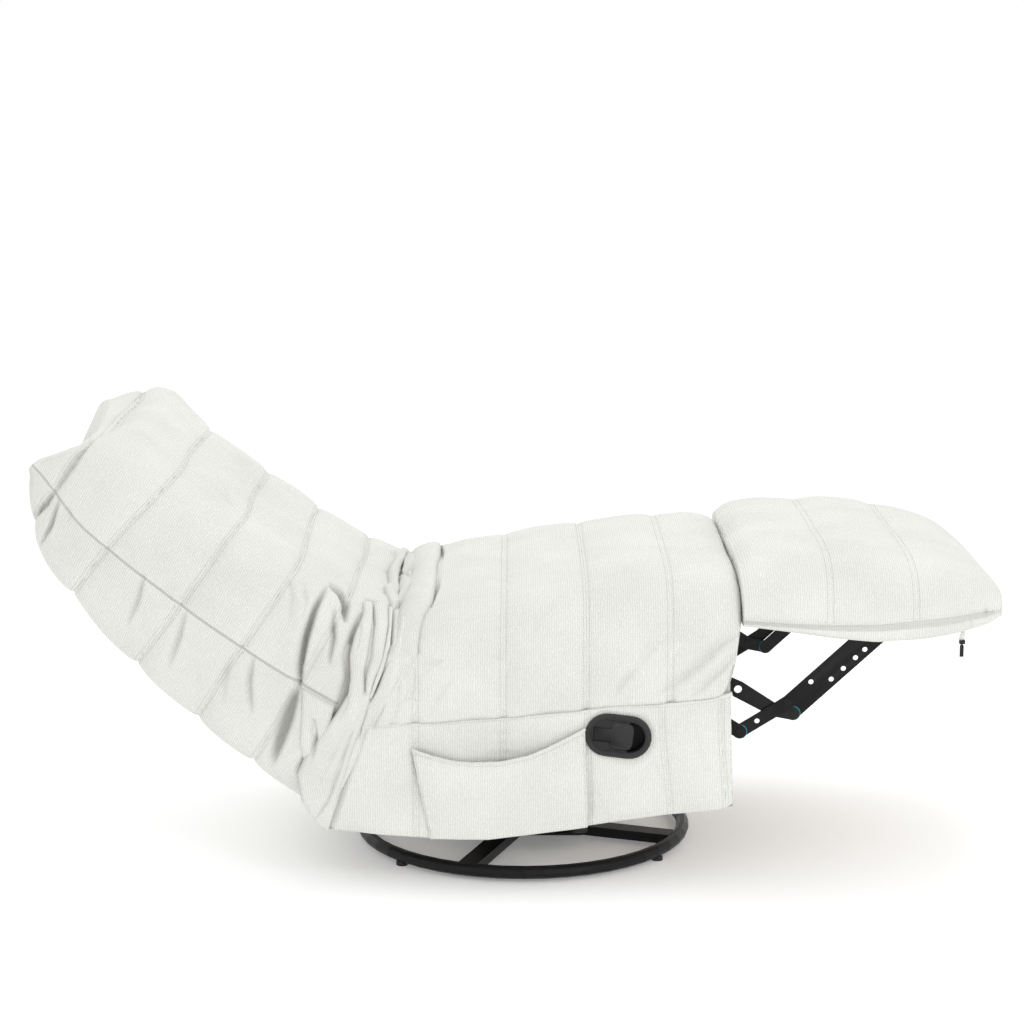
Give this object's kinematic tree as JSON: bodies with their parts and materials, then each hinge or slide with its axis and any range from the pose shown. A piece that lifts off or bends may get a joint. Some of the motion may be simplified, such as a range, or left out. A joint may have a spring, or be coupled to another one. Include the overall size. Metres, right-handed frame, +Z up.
{
  "type": "recliner",
  "caption": "Swivel and rocking recliner with channelled soft upholstery, shown lying back with its footrest out on a folding steel linkage, over a round tubular floor ring.",
  "frame": {"origin": "on the floor, on the swivel axis at the middle of the floor ring", "axes": "+X is the way the sitter faces, towards the footrest; +Y is the sitter's left; +Z is up"},
  "size_m": [1.7844, 0.7689, 0.8285],
  "materials": {
    "black_steel": "black gloss paint on steel",
    "zinc": "zinc-plated steel",
    "black_plastic": "matte black moulded plastic",
    "rubber": "matte black rubber",
    "plywood": "plain plywood",
    "fabric": "off-white slubby linen weave over foam and wadding"
  },
  "bodies": {
    "base": {"base_ring": "black_steel", "base_cross": "black_steel", "glide_1": "rubber", "glide_2": "rubber", "glide_3": "rubber", "glide_4": "rubber", "swivel_lower_plate": "black_steel", "swivel_bearing": "zinc"},
    "swivel": {"swivel_upper_plate": "black_steel", "swivel_bolt": "zinc", "rocker_pedestal": "black_steel", "rocker_pin": "zinc", "rocker_spring_left": "zinc", "rocker_spring_right": "zinc", "rocker_stop_rear": "rubber", "rocker_stop_front": "rubber"},
    "seat": {"rocker_beam": "black_steel", "base_rail_front": "black_steel", "base_rail_rear": "black_steel", "spring_rail_front": "plywood", "spring_rail_rear": "plywood", "frame_board_left": "plywood", "frame_board_right": "plywood", "cross_tube": "black_steel", "seat_spring_1": "zinc", "seat_spring_2": "zinc", "seat_spring_3": "zinc", "side_plate_left": "black_steel", "side_plate_right": "black_steel", "seat_cushion": "fabric", "side_pad_left": "fabric", "side_pad_right": "fabric", "side_pocket": "fabric", "handle_housing": "black_plastic", "release_cable": "black_plastic", "crease_cover": "fabric"},
    "handle": {"handle_paddle": "black_plastic"},
    "back": {"back_bracket_left": "black_steel", "back_bracket_right": "black_steel", "back_leg_left": "black_steel", "back_leg_right": "black_steel", "back_bar_1": "black_steel", "back_bar_2": "black_steel", "back_cushion": "fabric", "back_rear_pad": "fabric"},
    "carrier_links": {"carrier_link_left": "black_steel", "carrier_link_right": "black_steel", "drive_tube": "black_steel"},
    "lower_links": {"lower_link_left": "black_steel", "lower_link_right": "black_steel"},
    "crossing_links": {"crossing_link_left": "black_steel", "crossing_link_right": "black_steel"},
    "front_links": {"front_link_left": "black_steel", "front_link_right": "black_steel"},
    "footrest": {"footrest_bracket_left": "black_steel", "footrest_bracket_right": "black_steel", "footrest_board": "plywood", "footrest_cushion": "fabric", "zipper_slider": "black_steel"},
    "zipper_tag": {"zipper_pull": "black_steel"}
  },
  "joints": [
    {"name": "swivel", "type": "hinge", "parent": "base", "child": "swivel", "pos_m": [0, 0, 0.035], "axis": [0, 0, 1], "continuous": true},
    {"name": "rocking", "type": "hinge", "parent": "swivel", "child": "seat", "pos_m": [0, 0, 0.102], "axis": [0, 1, 0], "range_deg": [0, 5], "stiffness_Nm_per_rad": 40},
    {"name": "recline", "type": "hinge", "parent": "seat", "child": "back", "pos_m": [-0.235, 0, 0.34], "axis": [0, 1, 0], "range_deg": [0, 40], "deforming": ["crease_cover"]},
    {"name": "footrest_fold", "type": "hinge", "parent": "seat", "child": "carrier_links", "pos_m": [0.273, 0, 0.4141], "axis": [0, 1, 0], "range_deg": [0, 88.51]},
    {"name": "lower_link", "type": "hinge", "parent": "seat", "child": "lower_links", "pos_m": [0.2226, 0, 0.3911], "axis": [0, 1, 0], "range_deg": [0, 90.9]},
    {"name": "crossing_link", "type": "hinge", "parent": "carrier_links", "child": "crossing_links", "pos_m": [0.468, 0, 0.318], "axis": [0, 1, 0], "range_deg": [-60.6, 0]},
    {"name": "front_link", "type": "hinge", "parent": "carrier_links", "child": "front_links", "pos_m": [0.504, 0, 0.311], "axis": [0, 1, 0], "range_deg": [-59.3, 0]},
    {"name": "footrest_tilt", "type": "hinge", "parent": "crossing_links", "child": "footrest", "pos_m": [0.666, 0, 0.495], "axis": [0, 1, 0], "range_deg": [0, 64.1]},
    {"name": "handle_pull", "type": "hinge", "parent": "seat", "child": "handle", "pos_m": [0.13131, -0.3798, 0.306], "axis": [-0.1219, 0, -0.9925], "range_deg": [0, 35], "stiffness_Nm_per_rad": 0.05},
    {"name": "zipper_swing", "type": "hinge", "parent": "footrest", "child": "zipper_tag", "pos_m": [0.80065, -0.34094, 0.46388], "axis": [0, 1, 0], "range_deg": [-40, 10]}
  ],
  "couplings": [
    {"joint": "lower_link", "follows": "footrest_fold", "ratio": 1.0267},
    {"joint": "crossing_link", "follows": "footrest_fold", "ratio": -0.68365},
    {"joint": "front_link", "follows": "footrest_fold", "ratio": -0.66885},
    {"joint": "footrest_tilt", "follows": "footrest_fold", "ratio": 0.72308}
  ]
}
